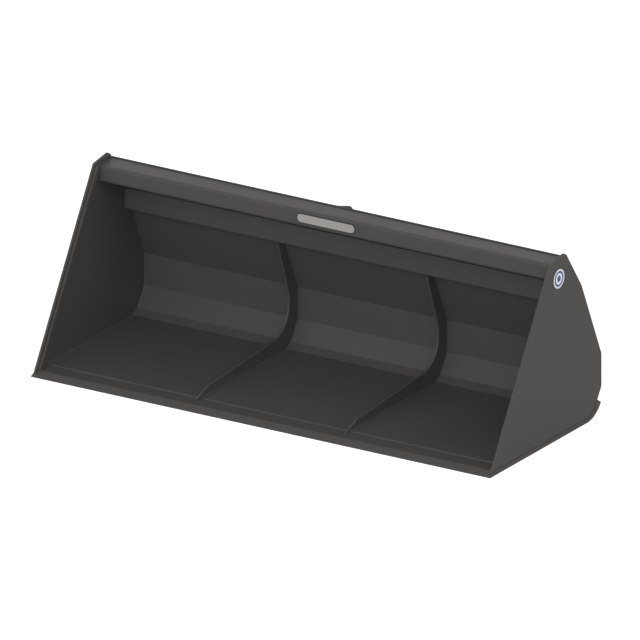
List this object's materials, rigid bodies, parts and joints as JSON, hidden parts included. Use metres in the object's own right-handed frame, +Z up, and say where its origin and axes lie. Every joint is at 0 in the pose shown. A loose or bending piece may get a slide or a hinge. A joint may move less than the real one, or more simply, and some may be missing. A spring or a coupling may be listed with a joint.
{
  "type": "tractor front loader bucket",
  "caption": "High-volume loader bucket with bevelled cutting edge, inner ribs, box beam under the rim, wear runners and hook-on coupling plates at the back.",
  "frame": {"origin": "centre of the footprint on the ground, under the bucket", "axes": "+X to the right as seen from the open front, the side with the badge; +Y from the cutting edge to the coupling plates at the rear; +Z up"},
  "size_m": [2.4, 1.052, 0.864],
  "materials": {
    "dark_paint": "semi-gloss anthracite enamel over welded plate",
    "plate_metal": "satin, with a dark printed border",
    "badge_vinyl": "gloss sticker, pale with a blue ring"
  },
  "bodies": {
    "root": {"cutting_edge": "dark_paint", "shell": "dark_paint", "left_side_plate": "dark_paint", "right_side_plate": "dark_paint", "left_edge_bar": "dark_paint", "right_edge_bar": "dark_paint", "top_beam": "dark_paint", "back_stiffener": "dark_paint", "left_inner_rib": "dark_paint", "right_inner_rib": "dark_paint", "left_side_runner": "dark_paint", "right_side_runner": "dark_paint", "left_inner_runner": "dark_paint", "right_inner_runner": "dark_paint", "left_hook_plate": "dark_paint", "right_hook_plate": "dark_paint", "left_lock_bush": "dark_paint", "right_lock_bush": "dark_paint", "hitch_channel": "dark_paint", "hitch_tie": "dark_paint", "left_upper_gusset": "dark_paint", "right_upper_gusset": "dark_paint", "left_lower_gusset": "dark_paint", "right_lower_gusset": "dark_paint", "lifting_lug": "dark_paint", "name_plate": "plate_metal", "side_badge": "badge_vinyl"}
  },
  "joints": []
}
